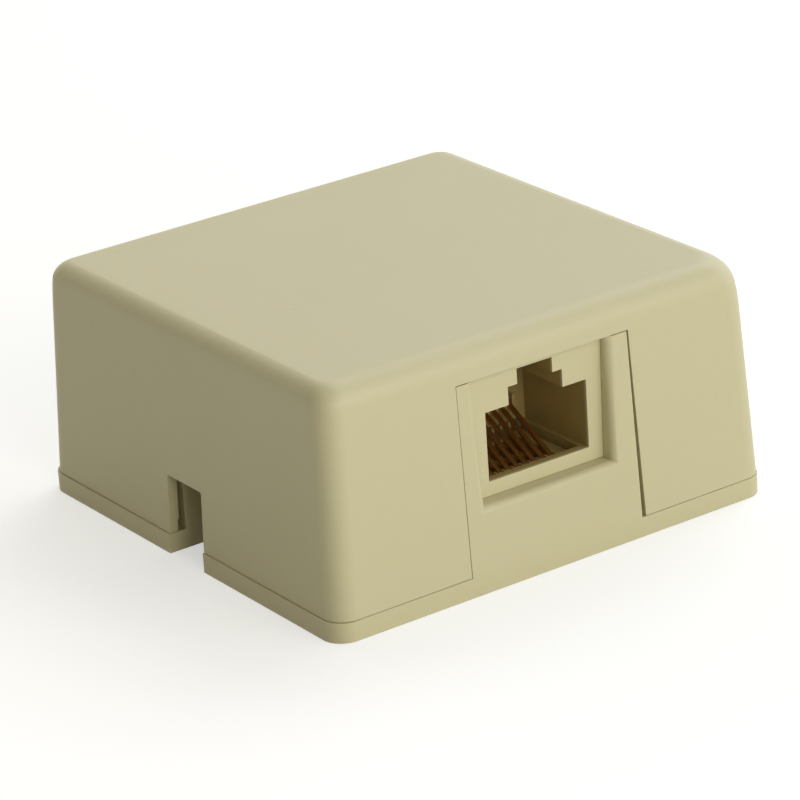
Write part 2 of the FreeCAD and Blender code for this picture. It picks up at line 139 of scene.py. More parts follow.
def shade_smooth(obj, angle=35.0):
    mesh = obj.data
    for face in mesh.polygons:
        face.use_smooth = True
    mesh.set_sharp_from_angle(angle=math.radians(angle))


def paint(obj, material):
    obj.data.materials.clear()
    obj.data.materials.append(material)


def outline_by_height(bm, depth):
    """The outside outline at each level near the top: z, left, right, front, back, radius."""
    top = max(v.co.z for v in bm.verts)
    levels = {}
    for vert in bm.verts:
        if vert.co.z > top - depth - LEVELS_BELOW:
            levels.setdefault(round(vert.co.z, 6), []).append(vert.co)
    outline = []
    for z, ring in sorted(levels.items(), reverse=True):
        left, right = min(p.x for p in ring), max(p.x for p in ring)
        front, back = min(p.y for p in ring), max(p.y for p in ring)
        radius = min(p.y for p in ring if p.x > right - WELD) - front
        hub = Vector((right - radius, front + radius))
        arms = [Vector((p.x, p.y)) - hub for p in ring]
        arc = [a for a in arms if a.x > -WELD and a.y < WELD and abs(a.length - radius) < 2e-5]
        if len(arc) > 4 and (not outline or front < outline[-1][3]):
            outline.append((z, left, right, front, back, radius))
    return top, outline


def reshape_crown(bm, detail):
    """Tightens the rounding of the cover's top edge on the left, and retouches the corners."""
    depth, crown = detail.corner_depth, detail.crown
    top, outline = outline_by_height(bm, depth)
    for vert in bm.verts:
        z = vert.co.z
        above = [o for o in outline if o[0] >= z - 1e-7]
        below = [o for o in outline if o[0] <= z + 1e-7]
        if z < top - depth or not above or not below:
            continue
        a, b = above[-1], below[0]
        part = (a[0] - z) / (a[0] - b[0]) if a[0] > b[0] else 0.0
        left, right, front, back, radius = (a[i] + part * (b[i] - a[i]) for i in range(1, 6))
        hub = Vector((min(max(vert.co.x, left + radius), right - radius),
                      min(max(vert.co.y, front + radius), back - radius)))
        arm = Vector((vert.co.x, vert.co.y)) - hub
        if arm.length < radius - INNER_SKIN or arm.length < WELD:
            continue
        normal = arm.normalized()
        in_corner = (min(abs(vert.co.x - left), abs(vert.co.x - right)) < radius + CORNER_SLACK
                     and min(abs(vert.co.y - front), abs(vert.co.y - back)) < radius + CORNER_SLACK)
        if in_corner:
            sides = Vector((math.copysign(1.0, vert.co.x), math.copysign(1.0, vert.co.y)))
            change = detail.far_corner if sides.x > 0 > sides.y else detail.near_corner
            grow = change * (1.0 - (top - z) / depth) ** 3
            place = hub - sides * grow + arm * ((radius + grow) / radius)
            vert.co.x, vert.co.y = place
        if z > top - crown:
            turn = math.asin(min(1.0, (z - top + crown) / crown))
            less = (crown - detail.side_crown) * max(0.0, -normal.x) ** 2
            rise = less * (1.0 - math.sin(turn))
            out = less * (1.0 - math.cos(turn)) - detail.draft * rise
            vert.co.x += normal.x * out
            vert.co.y += normal.y * out
            vert.co.z += rise


def softened_copy(nodes, name, width, reshape=None, largest=18):
    """A welded copy of CAD nodes, with its hard edges slightly rounded and its large faces split."""
    bm = bmesh.new()
    for node in nodes:
        part = bmesh.new()
        part.from_mesh(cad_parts[node].data)
        bmesh.ops.remove_doubles(part, verts=part.verts, dist=WELD)
        mesh = bpy.data.meshes.new("part")
        part.to_mesh(mesh)
        part.free()
        bm.from_mesh(mesh)
        bpy.data.meshes.remove(mesh)
    if reshape:
        reshape(bm)
    for edge in bm.edges:
        edge.smooth = True
    bmesh.ops.dissolve_limit(bm, angle_limit=math.radians(0.4), verts=bm.verts, edges=bm.edges,
                             use_dissolve_boundaries=False)
    bmesh.ops.triangulate(bm, faces=[face for face in bm.faces if len(face.verts) > largest])
    obj = mesh_object(name, bm)
    shade_smooth(obj, SHARP_ANGLE)
    if width > 0:
        bevel = obj.modifiers.new("soft edges", "BEVEL")
        bevel.width = width
        bevel.segments = 2
        bevel.limit_method = "ANGLE"
        bevel.angle_limit = math.radians(SHARP_ANGLE)
        bevel.use_clamp_overlap = True
        bevel.miter_outer = "MITER_ARC"
        bevel.harden_normals = True
    weighted = obj.modifiers.new("even shading", "WEIGHTED_NORMAL")
    weighted.keep_sharp = True
    return bake(obj)


def node_tree_with(name, inputs):
    """A Geometry Nodes group with a geometry way through and the named inputs."""
    tree = bpy.data.node_groups.new(name, "GeometryNodeTree")
    tree.interface.new_socket(name="Geometry", in_out="INPUT", socket_type="NodeSocketGeometry")
    for label, kind, default in inputs:
        socket = tree.interface.new_socket(name=label, in_out="INPUT", socket_type=kind)
        if default is not None:
            socket.default_value = default
    tree.interface.new_socket(name="Geometry", in_out="OUTPUT", socket_type="NodeSocketGeometry")
    return tree, tree.nodes.new("NodeGroupInput"), tree.nodes.new("NodeGroupOutput")


def geometry_node(tree, kind, links=(), mode=None, **values):
    """Adds a node, links (input name, output socket) pairs and sets plain values."""
    node = tree.nodes.new(kind)
    if mode:
        node.mode = mode
    for label, socket in links:
        tree.links.new(socket, node.inputs[label])
    for label, value in values.items():
        node.inputs[label.replace("_", " ")].default_value = value
    return node


def close_tree(tree, geometry, start, end):
    """Realises the instances, sets the material input and closes the group."""
    real = geometry_node(tree, "GeometryNodeRealizeInstances", [("Geometry", geometry)])
    paint_it = geometry_node(tree, "GeometryNodeSetMaterial",
                             [("Geometry", real.outputs[0]), ("Material", start.outputs["Material"])])
    tree.links.new(paint_it.outputs[0], end.inputs[0])
    return tree


def swept_run():
    """A filleted path swept with a rounded rectangle and repeated at an even pitch."""
    tree, start, end = node_tree_with("swept run", [
        ("Width", "NodeSocketFloat", 0.0005), ("Thickness", "NodeSocketFloat", 0.0003),
        ("Edge Radius", "NodeSocketFloat", 0.00005), ("Bend Radius", "NodeSocketFloat", 0.0003),
        ("Count", "NodeSocketInt", 1), ("Pitch", "NodeSocketVector", (0.001, 0.0, 0.0)),
        ("Across", "NodeSocketVector", (1.0, 0.0, 0.0)), ("Material", "NodeSocketMaterial", None)])
    put = start.outputs
    bends = geometry_node(tree, "GeometryNodeFilletCurve",
                          [("Curve", put["Geometry"]), ("Radius", put["Bend Radius"])], "POLY", Count=8)
    turn = geometry_node(tree, "GeometryNodeSetCurveNormal",
                         [("Curve", bends.outputs[0]), ("Normal", put["Across"])], "FREE")
    section = geometry_node(tree, "GeometryNodeCurvePrimitiveQuadrilateral",
                            [("Width", put["Width"]), ("Height", put["Thickness"])])
    section = geometry_node(tree, "GeometryNodeFilletCurve",
                            [("Curve", section.outputs[0]), ("Radius", put["Edge Radius"])], "POLY", Count=2)
    sweep = geometry_node(tree, "GeometryNodeCurveToMesh",
                          [("Curve", turn.outputs[0]), ("Profile Curve", section.outputs[0])], Fill_Caps=True)
    row = geometry_node(tree, "GeometryNodeMeshLine", [("Count", put["Count"]), ("Offset", put["Pitch"])])
    copies = geometry_node(tree, "GeometryNodeInstanceOnPoints",
                           [("Points", row.outputs[0]), ("Instance", sweep.outputs[0])])
    return close_tree(tree, copies.outputs[0], start, end)


def repeated_piece():
    """Copies of the incoming mesh on the points of another mesh, each with its own small turn."""
    tree, start, end = node_tree_with("repeated piece", [
        ("Points", "NodeSocketObject", None), ("Turn", "NodeSocketFloat", 0.0), ("Seed", "NodeSocketInt", 7),
        ("Material", "NodeSocketMaterial", None)])
    put = start.outputs
    places = geometry_node(tree, "GeometryNodeObjectInfo", [("Object", put["Points"])])
    spin = tree.nodes.new("FunctionNodeRandomValue")
    spin.data_type = "FLOAT"
    spin.inputs[2].default_value = 0.0
    tree.links.new(put["Turn"], spin.inputs[3])
    tree.links.new(put["Seed"], spin.inputs["Seed"])
    angles = tree.nodes.new("ShaderNodeCombineXYZ")
    tree.links.new(spin.outputs[1], angles.inputs["Z"])
    copies = geometry_node(tree, "GeometryNodeInstanceOnPoints",
                           [("Points", places.outputs["Geometry"]), ("Instance", put["Geometry"]),
                            ("Rotation", angles.outputs[0])])
    return close_tree(tree, copies.outputs[0], start, end)


def run_tree(obj, tree, **values):
    """Puts a Geometry Nodes group on the object with these inputs."""
    modifier = obj.modifiers.new(tree.name, "NODES")
    modifier.node_group = tree
    ids = {item.name: item.identifier for item in tree.interface.items_tree if item.in_out == "INPUT"}
    for label, value in values.items():
        modifier[ids[label.replace("_", " ")]] = value


def tree_named(name):
    makers = {"swept run": swept_run, "repeated piece": repeated_piece}
    return bpy.data.node_groups.get(name) or makers[name]()


def swept(name, points, material, **values):
    """A path through the points, swept, repeated and baked to a mesh object."""
    curve = bpy.data.curves.new(name + " path", "CURVE")
    curve.dimensions = "3D"
    spline = curve.splines.new("POLY")
    spline.points.add(len(points) - 1)
    for point, place in zip(spline.points, points):
        point.co = (*place, 1.0)
    path = link(bpy.data.objects.new(name + " path", curve))
    run_tree(path, tree_named("swept run"), Material=material, **values)
    graph = bpy.context.evaluated_depsgraph_get()
    graph.update()
    mesh = bpy.data.meshes.new_from_object(path.evaluated_get(graph))
    bpy.data.objects.remove(path)
    bpy.data.curves.remove(curve)
    mesh.name = name
    return link(bpy.data.objects.new(name, mesh))


def repeated(obj, places, material, turn=0.0, seed=7):
    """The object's mesh copied to every place, in one baked mesh."""
    cloud = bpy.data.meshes.new("places")
    cloud.from_pydata([tuple(p) for p in places], [], [])
    points = link(bpy.data.objects.new("places", cloud))
    run_tree(obj, tree_named("repeated piece"), Points=points, Turn=turn, Seed=seed, Material=material)
    bake(obj)
    bpy.data.objects.remove(points)
    bpy.data.meshes.remove(cloud)
    return obj


def merged(name, pieces):
    """Joins baked pieces into one mesh object, welded and with its normals outward."""
    bm = bmesh.new()
    for piece in pieces:
        bm.from_mesh(piece.data)
        mesh = piece.data
        bpy.data.objects.remove(piece)
        bpy.data.meshes.remove(mesh)
    bmesh.ops.remove_doubles(bm, verts=bm.verts, dist=1e-7)
    bmesh.ops.recalc_face_normals(bm, faces=bm.faces)
    obj = mesh_object(name, bm)
    shade_smooth(obj, SHARP_ANGLE)
    return obj


def lathe(bm, profile, steps=32, ring=False):
    """A closed body turned about Z from (radius, height) points; a ring has no points on the axis."""
    loops = []
    for radius, height in profile:
        turns = [2 * math.pi * i / steps for i in range(steps if radius > 0 else 1)]
        loops.append([bm.verts.new((radius * math.cos(t), radius * math.sin(t), height)) for t in turns])
    for a, b in zip(loops, loops[1:] + (loops[:1] if ring else [])):
        for i in range(max(len(a), len(b))):
            j = (i + 1) % steps
            corners = [a[i % len(a)], a[j % len(a)], b[j % len(b)], b[i % len(b)]]
            bm.faces.new(list(dict.fromkeys(corners)))


def thread(bm, radius, depth, pitch, start, turns, steps=20):
    """A ridge that winds down a shank, fading in and out at its ends."""
    count = int(turns * steps)
    last = None
    for i in range(count + 1):
        angle, z = 2 * math.pi * i / steps, start - pitch * i / steps
        crest = radius + depth * min(1.0, i / steps, (count - i) / steps)
        section = [bm.verts.new((r * math.cos(angle), r * math.sin(angle), z + up * pitch))
                   for r, up in ((radius * 0.96, 0.35), (crest, 0.0), (radius * 0.96, -0.35))]
        if last:
            for k in range(3):
                bm.faces.new([last[k], last[(k + 1) % 3], section[(k + 1) % 3], section[k]])
        else:
            bm.faces.new(section)
        last = section
    bm.faces.new(last[::-1])


def cross_cutter(reach, half, depth, top):
    """A tapered cross-shaped body, for the recess of a screw's head."""
    bm = bmesh.new()
    levels = []
    for z, scale in ((top + depth / 4, 1.12), (top - depth, 0.45)):
        arm, side = reach * scale, half * (scale + 0.5) / 1.5
        points = []
        for turn in range(4):
            for x, y in ((side, side), (arm, side), (arm, -side)):
                c, k = math.cos(-turn * math.pi / 2), math.sin(-turn * math.pi / 2)
                points.append(bm.verts.new((x * c - y * k, x * k + y * c, z)))
        levels.append(points)
    for i in range(12):
        j = (i + 1) % 12
        bm.faces.new([levels[0][i], levels[0][j], levels[1][j], levels[1][i]])
    bm.faces.new(levels[0])
    bm.faces.new(levels[1][::-1])
    bmesh.ops.recalc_face_normals(bm, faces=bm.faces)
    return mesh_object("cutter", bm)


def pan_screw(name, head_radius, head_height, shank_length, detail):
    """A pan head screw with a cross recess and a coarse thread, its seat at Z = 0."""
    bm = bmesh.new()
    edge, shank = head_height * 0.55, detail.shank_radius
    dome = [math.radians(10 * i) for i in range(10)]
    lathe(bm, [(0.0, head_height)]
          + [(head_radius - edge + edge * math.sin(t), head_height - edge + edge * math.cos(t)) for t in dome]
          + [(head_radius, HEAD_RIM), (head_radius - HEAD_RIM, 0.0), (shank, 0.0),
             (shank, -shank_length * 0.8), (shank * 0.35, -shank_length), (0.0, -shank_length)])
    bmesh.ops.recalc_face_normals(bm, faces=bm.faces)
    screw = mesh_object(name, bm)
    cutter = cross_cutter(head_radius * 0.56, detail.recess / 2, head_height * 0.6, head_height)
    cut = screw.modifiers.new("recess", "BOOLEAN")
    cut.operation, cut.solver, cut.object = "DIFFERENCE", "EXACT", cutter
    bake(screw)
    bpy.data.objects.remove(cutter)
    bm = bmesh.new()
    bm.from_mesh(screw.data)
    thread(bm, shank, detail.thread_depth, detail.thread_pitch, -THREAD_START,
           (shank_length - PLAIN_SHANK) / detail.thread_pitch)
    bmesh.ops.recalc_face_normals(bm, faces=bm.faces)
    bm.to_mesh(screw.data)
    bm.free()
    shade_smooth(screw, 35.0)
    return screw


def turned(name, profile, steps=24, ring=False):
    """A mesh object turned about Z."""
    bm = bmesh.new()
    lathe(bm, profile, steps, ring)
    bmesh.ops.recalc_face_normals(bm, faces=bm.faces)
    obj = mesh_object(name, bm)
    shade_smooth(obj, SHARP_ANGLE)
    return obj


def finish_piece(obj, body, material, slot, *nodes):
    """Puts the material on a piece, joins it to its body and hides the CAD nodes it stands for."""
    paint(obj, material)
    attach(obj, body)
    if nodes:
        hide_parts(*nodes)
    return obj


# ---------------------------------------------------------------- shader groups

def new_group(name, inputs, outputs):
    """An empty shader group with named sockets: (name, type, default)."""
    tree = bpy.data.node_groups.new(name, "ShaderNodeTree")
    for label, kind, default in inputs:
        socket = tree.interface.new_socket(name=label, in_out="INPUT", socket_type=kind)
        socket.default_value = default
    for label, kind in outputs:
        tree.interface.new_socket(name=label, in_out="OUTPUT", socket_type=kind)
    return tree, tree.nodes.new("NodeGroupInput"), tree.nodes.new("NodeGroupOutput")


def math_node(tree, operation, a, b=None, clamp=False):
    node = tree.nodes.new("ShaderNodeMath")
    node.operation = operation
    node.use_clamp = clamp
    for socket, value in zip(node.inputs, (a, b)):
        if value is None:
            continue
        if isinstance(value, (int, float)):
            socket.default_value = value
        else:
            tree.links.new(value, socket)
    return node.outputs[0]


def mixed(tree, factor, a, b, blend="MIX"):
    """Mixes two colours, each a socket or a plain colour."""
    node = tree.nodes.new("ShaderNodeMix")
    node.data_type, node.blend_type = "RGBA", blend
    tree.links.new(factor, node.inputs[0])
    for socket, value in zip((node.inputs[6], node.inputs[7]), (a, b)):
        if isinstance(value, tuple):
            socket.default_value = value
        else:
            tree.links.new(value, socket)
    return node.outputs[2]


def noise(tree, vector, scale, detail=2.0, rough=0.5):
    node = tree.nodes.new("ShaderNodeTexNoise")
    node.inputs["Detail"].default_value = detail
    node.inputs["Roughness"].default_value = rough
    tree.links.new(vector, node.inputs["Vector"])
    if isinstance(scale, (int, float)):
        node.inputs["Scale"].default_value = scale
    else:
        tree.links.new(scale, node.inputs["Scale"])
    return node.outputs["Fac"]


def moulded_skin():
    """Fine skin of a moulded plastic face: height in metres, and its roughness."""
    tree, start, end = new_group(
        "moulded skin",
        [("Grain Scale", "NodeSocketFloat", 6000.0), ("Grain Depth", "NodeSocketFloat", 0.000004),
         ("Roughness", "NodeSocketFloat", 0.45), ("Roughness Drift", "NodeSocketFloat", 0.06)],
        [("Height", "NodeSocketFloat"), ("Roughness", "NodeSocketFloat")])
    place = tree.nodes.new("ShaderNodeTexCoord").outputs["Object"]
    grain = noise(tree, place, start.outputs["Grain Scale"], 2.0, 0.6)
    flow = noise(tree, place, 60.0, 1.0, 0.4)
    height = math_node(tree, "MULTIPLY", grain, start.outputs["Grain Depth"])
    waves = math_node(tree, "MULTIPLY", flow, 0.000012)
    tree.links.new(math_node(tree, "ADD", height, waves), end.inputs["Height"])
    patch = noise(tree, place, 140.0, 3.0, 0.55)
    drift = math_node(tree, "MULTIPLY", math_node(tree, "SUBTRACT", patch, 0.5),
                      start.outputs["Roughness Drift"])
    tree.links.new(math_node(tree, "ADD", drift, start.outputs["Roughness"], clamp=True),
                   end.inputs["Roughness"])
    return tree


def aged_tint():
    """A colour that drifts slowly over the piece, with a few faint specks."""
    tree, start, end = new_group(
        "aged tint",
        [("Color", "NodeSocketColor", (0.6, 0.55, 0.35, 1.0)),
         ("Aged Color", "NodeSocketColor", (0.55, 0.5, 0.3, 1.0)),
         ("Drift Scale", "NodeSocketFloat", 45.0), ("Amount", "NodeSocketFloat", 0.35),
         ("Speck Scale", "NodeSocketFloat", 900.0), ("Specks", "NodeSocketFloat", 0.25)],
        [("Color", "NodeSocketColor")])
    place = tree.nodes.new("ShaderNodeTexCoord").outputs["Object"]
    slow = noise(tree, place, start.outputs["Drift Scale"], 3.0, 0.5)
    mask = math_node(tree, "MULTIPLY", slow, start.outputs["Amount"], clamp=True)
    mix = mixed(tree, mask, start.outputs["Color"], start.outputs["Aged Color"])
    fleck = noise(tree, place, start.outputs["Speck Scale"], 2.0, 0.6)
    dots = math_node(tree, "MULTIPLY", math_node(tree, "SUBTRACT", fleck, 0.66, clamp=True), 4.0, clamp=True)
    dots = math_node(tree, "MULTIPLY", dots, start.outputs["Specks"], clamp=True)
    speck = mixed(tree, dots, mix, SPECK_COLOUR, "MULTIPLY")
    tree.links.new(speck, end.inputs["Color"])
    return tree


def drawn_metal():
    """Fine lines along a drawn wire or a rolled strip: height and roughness."""
    tree, start, end = new_group(
        "drawn metal",
        [("Line Scale", "NodeSocketFloat", 9000.0), ("Line Depth", "NodeSocketFloat", 0.0000015),
         ("Roughness", "NodeSocketFloat", 0.28), ("Roughness Drift", "NodeSocketFloat", 0.2)],
        [("Height", "NodeSocketFloat"), ("Roughness", "NodeSocketFloat"), ("Tarnish", "NodeSocketFloat")])
    place = tree.nodes.new("ShaderNodeTexCoord").outputs["Object"]
    stretch = tree.nodes.new("ShaderNodeMapping")
    stretch.inputs["Scale"].default_value = (1.0, 0.06, 0.06)
    tree.links.new(place, stretch.inputs["Vector"])
    lines = noise(tree, stretch.outputs[0], start.outputs["Line Scale"], 2.0, 0.5)
    tree.links.new(math_node(tree, "MULTIPLY", lines, start.outputs["Line Depth"]), end.inputs["Height"])
    patch = noise(tree, place, 700.0, 3.0, 0.6)
    drift = math_node(tree, "MULTIPLY", math_node(tree, "SUBTRACT", patch, 0.5),
                      start.outputs["Roughness Drift"])
    tree.links.new(math_node(tree, "ADD", drift, start.outputs["Roughness"], clamp=True),
                   end.inputs["Roughness"])
    tree.links.new(patch, end.inputs["Tarnish"])
    return tree


def painted_mouth_shade():
    """Painted shade: a colour that deepens from front to back inside an opening, standing in for the shade
    deep in the jack's mouth, and is unchanged around it.
    """
    tree, start, end = new_group(
        "sheltered tint",
        [("Color", "NodeSocketColor", (0.6, 0.55, 0.35, 1.0)),
         ("Deep Color", "NodeSocketColor", (0.3, 0.2, 0.1, 1.0)),
         ("Front", "NodeSocketFloat", 0.0), ("Depth", "NodeSocketFloat", 0.001),
         ("Middle", "NodeSocketFloat", 0.0), ("Half Width", "NodeSocketFloat", 0.006),
         ("Top", "NodeSocketFloat", 0.02), ("Back", "NodeSocketFloat", 0.01)],
        [("Color", "NodeSocketColor")])
    place = tree.nodes.new("ShaderNodeTexCoord").outputs["Object"]
    axes = tree.nodes.new("ShaderNodeSeparateXYZ")
    tree.links.new(place, axes.inputs[0])
    put = start.outputs
    inward = math_node(tree, "SUBTRACT", axes.outputs["Y"], put["Front"])
    ramp = math_node(tree, "DIVIDE", inward, put["Depth"], clamp=True)
    aside = math_node(tree, "ABSOLUTE", math_node(tree, "SUBTRACT", axes.outputs["X"], put["Middle"]))
    within = math_node(tree, "LESS_THAN", aside, put["Half Width"])
    below = math_node(tree, "LESS_THAN", axes.outputs["Z"], put["Top"])
    before = math_node(tree, "LESS_THAN", axes.outputs["Y"], put["Back"])
    inside = math_node(tree, "MULTIPLY", before, math_node(tree, "MULTIPLY", within, below))
    # painted shade: the mask darkens the colour with depth inside the mouth, where shade falls
    mask = math_node(tree, "MULTIPLY", ramp, inside)
    tree.links.new(mixed(tree, mask, put["Color"], put["Deep Color"]), end.inputs["Color"])
    return tree


GROUPS = {}


def group(name):
    makers = {"moulded skin": moulded_skin, "aged tint": aged_tint, "drawn metal": drawn_metal,
              "sheltered tint": painted_mouth_shade}
    if name not in GROUPS:
        GROUPS[name] = makers[name]()
    return GROUPS[name]


def add_group(tree, name, **values):
    node = tree.nodes.new("ShaderNodeGroup")
    node.node_tree = group(name)
    for label, value in values.items():
        node.inputs[label.replace("_", " ")].default_value = value
    return node


def bumped(tree, shader, height):
    bump = tree.nodes.new("ShaderNodeBump")
    bump.inputs["Distance"].default_value = 1.0
    bump.inputs["Strength"].default_value = 1.0
    tree.links.new(height, bump.inputs["Height"])
    tree.links.new(bump.outputs["Normal"], shader.inputs["Normal"])


def rgba(color):
    return (color[0], color[1], color[2], 1.0)


def darker(color, factor, warm=1.0):
    return (color[0] * factor, color[1] * factor, color[2] * factor / warm, 1.0)


def new_material(name):
    material = bpy.data.materials.new(name)
    material.use_nodes = True
    tree = material.node_tree
    return material, tree, tree.nodes["Principled BSDF"]


def plastic(name, color, roughness, grain, translucent=0.0, aged=0.3, specks=0.2):
    """Moulded plastic: a drifting colour, a fine skin and a little light passing through."""
    material, tree, shader = new_material(name)
    tint = add_group(tree, "aged tint", Color=rgba(color), Aged_Color=darker(color, 0.93, 1.06),
                     Amount=aged, Specks=specks)
    skin = add_group(tree, "moulded skin", Grain_Depth=grain, Roughness=roughness)
    tree.links.new(tint.outputs["Color"], shader.inputs["Base Color"])
    tree.links.new(skin.outputs["Roughness"], shader.inputs["Roughness"])
    bumped(tree, shader, skin.outputs["Height"])
    shader.inputs["IOR"].default_value = PLASTIC_IOR
    if translucent:
        shader.inputs["Subsurface Weight"].default_value = translucent
        shader.inputs["Subsurface Radius"].default_value = SCATTER_COLOUR
        shader.inputs["Subsurface Scale"].default_value = SCATTER_DEPTH
    return material


def metal(name, color, tarnish, roughness, drift=0.15):
    """Plated or rolled metal with drawn lines, darkened by the factor where it is tarnished."""
    material, tree, shader = new_material(name)
    lines = add_group(tree, "drawn metal", Roughness=roughness, Roughness_Drift=drift)
    mix = mixed(tree, lines.outputs["Tarnish"], rgba(color), darker(color, tarnish))
    tree.links.new(mix, shader.inputs["Base Color"])
    tree.links.new(lines.outputs["Roughness"], shader.inputs["Roughness"])
    shader.inputs["Metallic"].default_value = 1.0
    bumped(tree, shader, lines.outputs["Height"])
    return material


# ---------------------------------------------------------------- properties

def colour(name, text, default):
    return bpy.props.FloatVectorProperty(name=name, description=text, subtype="COLOR", size=3,
                                         min=0.0, max=1.0, default=default)


def length(name, text, default):
    return bpy.props.FloatProperty(name=name, description=text, default=default, min=0.0,
                                   subtype="DISTANCE", unit="LENGTH", precision=5)


class JackboxFinish(bpy.types.PropertyGroup):
    ivory: colour("Ivory", "Colour of the base and the jack", (0.57, 0.525, 0.318))
    cover_ivory: colour("Cover ivory", "Colour of the cover", (0.57, 0.53, 0.322))
    carrier: colour("Carrier", "Colour of the contact carrier", (0.56, 0.51, 0.30))
    # painted shade: the colour the jack's plastic is darkened to deep in its mouth, where shade falls
    deep: colour("Painted mouth shade", "Painted shade colour for the plastic deep inside the jack's mouth", (0.34, 0.25, 0.085))
    solder: colour("Solder", "Colour of the solder joints", (0.62, 0.62, 0.60))
    track: colour("Tracks", "Colour of the tracks under the solder mask", (0.02, 0.16, 0.06))
    block: colour("Blocks", "Colour of the punch-down blocks", (0.78, 0.77, 0.72))
    mask: colour("Solder mask", "Colour of the circuit board", (0.01, 0.10, 0.035))
    contact: colour("Contacts", "Plating of the jack's contacts", (0.80, 0.47, 0.17))
    blade: colour("Blades", "Plating of the forked contacts", (0.72, 0.70, 0.66))
    zinc: colour("Screws", "Plating of the board screws", (0.66, 0.67, 0.68))
    roughness: bpy.props.FloatProperty(name="Satin", description="Roughness of the ivory plastic",
                                       default=0.48, min=0.0, max=1.0, subtype="FACTOR")
    grain: length("Grain depth", "Depth of the moulded grain", 0.000004)


class JackboxDetail(bpy.types.PropertyGroup):
    cover_edge: length("Cover edges", "Rounding of the cover's cut edges", 0.00012)
    crown: length("Crown", "Rounding of the top edges as modelled", 0.0024)
    side_crown: length("Left crown", "Rounding of the top edge on the left", 0.0018)
    corner_depth: length("Corner depth", "Depth below the top where the corners start to change", 0.006)
    near_corner: bpy.props.FloatProperty(name="Corners", unit="LENGTH", precision=5, default=-0.0006,
                                         description="Change of the corners' radius at the top")
    far_corner: bpy.props.FloatProperty(name="Front right corner", unit="LENGTH", precision=5, default=0.0010,
                                        description="Change of this corner's radius at the top")
    draft: bpy.props.FloatProperty(name="Draft", description="Slope of the cover's sides", default=0.05)
    base_edge: length("Base edges", "Rounding of the base's edges", 0.00014)
    jack_edge: length("Jack edges", "Rounding of the jack's edges", 0.00012)
    wire_thick: length("Contact thickness", "Thickness of a contact wire", 0.0003)
    wire_bend: length("Contact bend", "Bend radius of a contact wire", 0.00032)
    wire_edge: length("Contact edges", "Rounding of a contact wire's edges", 0.00006)
    wire_low: length("Contact run", "Lower run of a contact wire above the board", 0.00085)
    wire_foot: length("Contact foot", "Start of the spring above the board", 0.0014)
    wire_slope: bpy.props.FloatProperty(name="Contact slope", description="Slope of the springs",
                                        default=math.radians(28.2), subtype="ANGLE", unit="ROTATION")
    # extents of the painted shade inside the jack's mouth
    shade_start: length("Shade start", "Behind the jack's face, where the painted shade starts", 0.00012)
    shade_depth: length("Shade depth", "Depth over which the painted shade darkens", 0.0003)
    mouth_half: length("Mouth half", "Half the width of the jack's mouth and its walls' skin", 0.0062)
    mouth_depth: length("Mouth depth", "Depth of the jack's mouth and the skin of its back wall", 0.0103)
    copper: length("Copper", "Height of pads and tracks on the board", 0.00004)
    pad_radius: length("Pad radius", "Radius of a pad", 0.0007)
    pad_hole: length("Pad hole", "Radius of the hole in a pad", 0.00046)
    track_width: length("Track width", "Width of a track", 0.0004)
    track_bend: length("Track bend", "Bend radius of a track", 0.0012)
    solder_height: length("Solder height", "Height of a solder joint", 0.0007)
    shank_radius: length("Shank radius", "Core of a board screw", 0.00082)
    thread_depth: length("Thread depth", "Height of a board screw's thread", 0.00016)
    thread_pitch: length("Thread pitch", "Pitch of a board screw's thread", 0.0007)
    recess: length("Recess", "Width of the slots in a screw's head", 0.00055)


def settings(context):
    return context.scene.jackbox_finish, context.scene.jackbox_detail


class JackboxStage(bpy.types.PropertyGroup):
    yaw: bpy.props.FloatProperty(name="Yaw", description="Camera's turn from straight ahead",
                                 default=math.radians(34.02), subtype="ANGLE", unit="ROTATION")
    pitch: bpy.props.FloatProperty(name="Pitch", description="How far the camera looks down",
                                   default=math.radians(22.26), subtype="ANGLE", unit="ROTATION")
    roll: bpy.props.FloatProperty(name="Roll", description="Camera's roll",
                                  default=math.radians(-3.90), subtype="ANGLE", unit="ROTATION")
    distance: length("Distance", "Camera to its target", 0.40296)
    target_height: length("Target height", "Height of the point looked at", 0.009682)
    lens: bpy.props.FloatProperty(name="Lens", description="Focal length in millimetres on a 36 mm sensor",
                                  default=181.32, min=10.0)
    front: bpy.props.FloatProperty(name="Front light", description="Power of the light in front",
                                   default=1.41, min=0.0, unit="POWER")
    corner: bpy.props.FloatProperty(name="Corner light", description="Power of the light at the front right",
                                    default=1.11, min=0.0, unit="POWER")
    overhead: bpy.props.FloatProperty(name="Overhead light", description="Power of the light above",
                                      default=1.70, min=0.0, unit="POWER")
    sky: bpy.props.FloatProperty(name="Sky", description="Strength of the surrounding light",
                                 default=2.0, min=0.0)
    sky_right: colour("Sky right", "Surrounding light from the right", (0.62, 0.69, 0.84))
    sky_back: colour("Sky back", "Surrounding light from behind", (0.84, 0.79, 0.66))
    sky_front: colour("Sky front", "Surrounding light from the front", (0.52, 0.47, 0.36))
    floor_size: length("Floor size", "Side of the floor", 2.4)


# ---------------------------------------------------------------- operators

